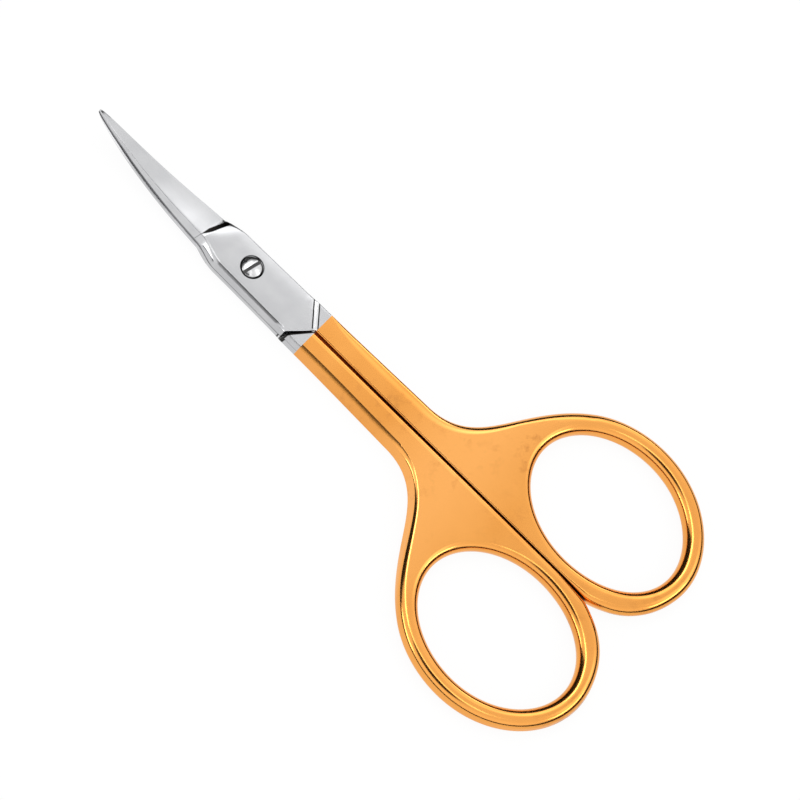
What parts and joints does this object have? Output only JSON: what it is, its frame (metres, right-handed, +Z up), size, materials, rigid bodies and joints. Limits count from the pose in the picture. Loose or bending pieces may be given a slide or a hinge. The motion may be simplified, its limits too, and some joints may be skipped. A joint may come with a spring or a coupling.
{
  "type": "manicure scissors",
  "caption": "Manicure scissors with curved pointed blades, a slotted pivot screw and gold-plated finger rings, shown closed.",
  "frame": {"origin": "on the pivot's axis, in the plane that the closed pair lies on", "axes": "+X from the pivot to the blades' tips, +Z up out of the screw's head, +Y towards the ring of the lower half"},
  "size_m": [0.0895, 0.0433, 0.0044],
  "materials": {
    "steel": "polished",
    "gold": "polished gold plating on steel",
    "screw_steel": "polished"
  },
  "bodies": {
    "lower_half": {"lower_blade": "steel", "lower_handle": "gold", "pivot_screw": "screw_steel"},
    "upper_half": {"upper_blade": "steel", "upper_handle": "gold"}
  },
  "joints": [
    {"name": "pivot", "type": "hinge", "parent": "lower_half", "child": "upper_half", "pos_m": [0, 0, 0], "axis": [0, 0, 1], "range_deg": [0, 80]}
  ]
}
